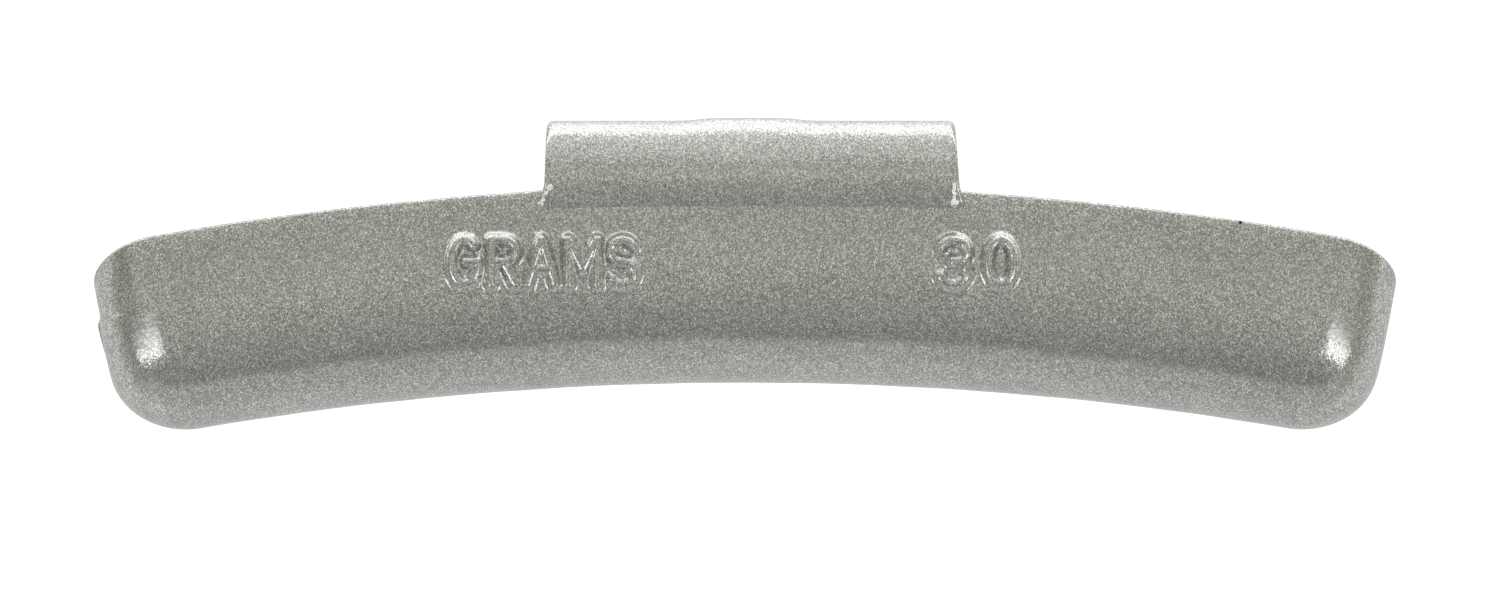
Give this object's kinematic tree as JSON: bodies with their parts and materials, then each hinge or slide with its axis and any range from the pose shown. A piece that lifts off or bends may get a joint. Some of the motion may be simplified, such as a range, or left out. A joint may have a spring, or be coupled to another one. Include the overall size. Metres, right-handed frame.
{
  "type": "wheel balance weight",
  "caption": "Curved silver-coated zinc weight with a spring-steel clip that hooks over a wheel's rim flange to balance the wheel.",
  "frame": {"origin": "centre of the part's box, on the surface that its flat back lies on", "axes": "+X along the weight, +Y away from the wheel's axis and towards the clip, +Z out of the wheel, from the flat back to the marked face"},
  "size_m": [0.0724, 0.0173, 0.0068],
  "materials": {
    "coated_zinc": "satin silver metallic-flake coating on die-cast zinc",
    "coated_steel": "the same silver metallic-flake coating on spring steel"
  },
  "bodies": {
    "root": {"cast_body": "coated_zinc", "spring_clip": "coated_steel"}
  },
  "joints": []
}
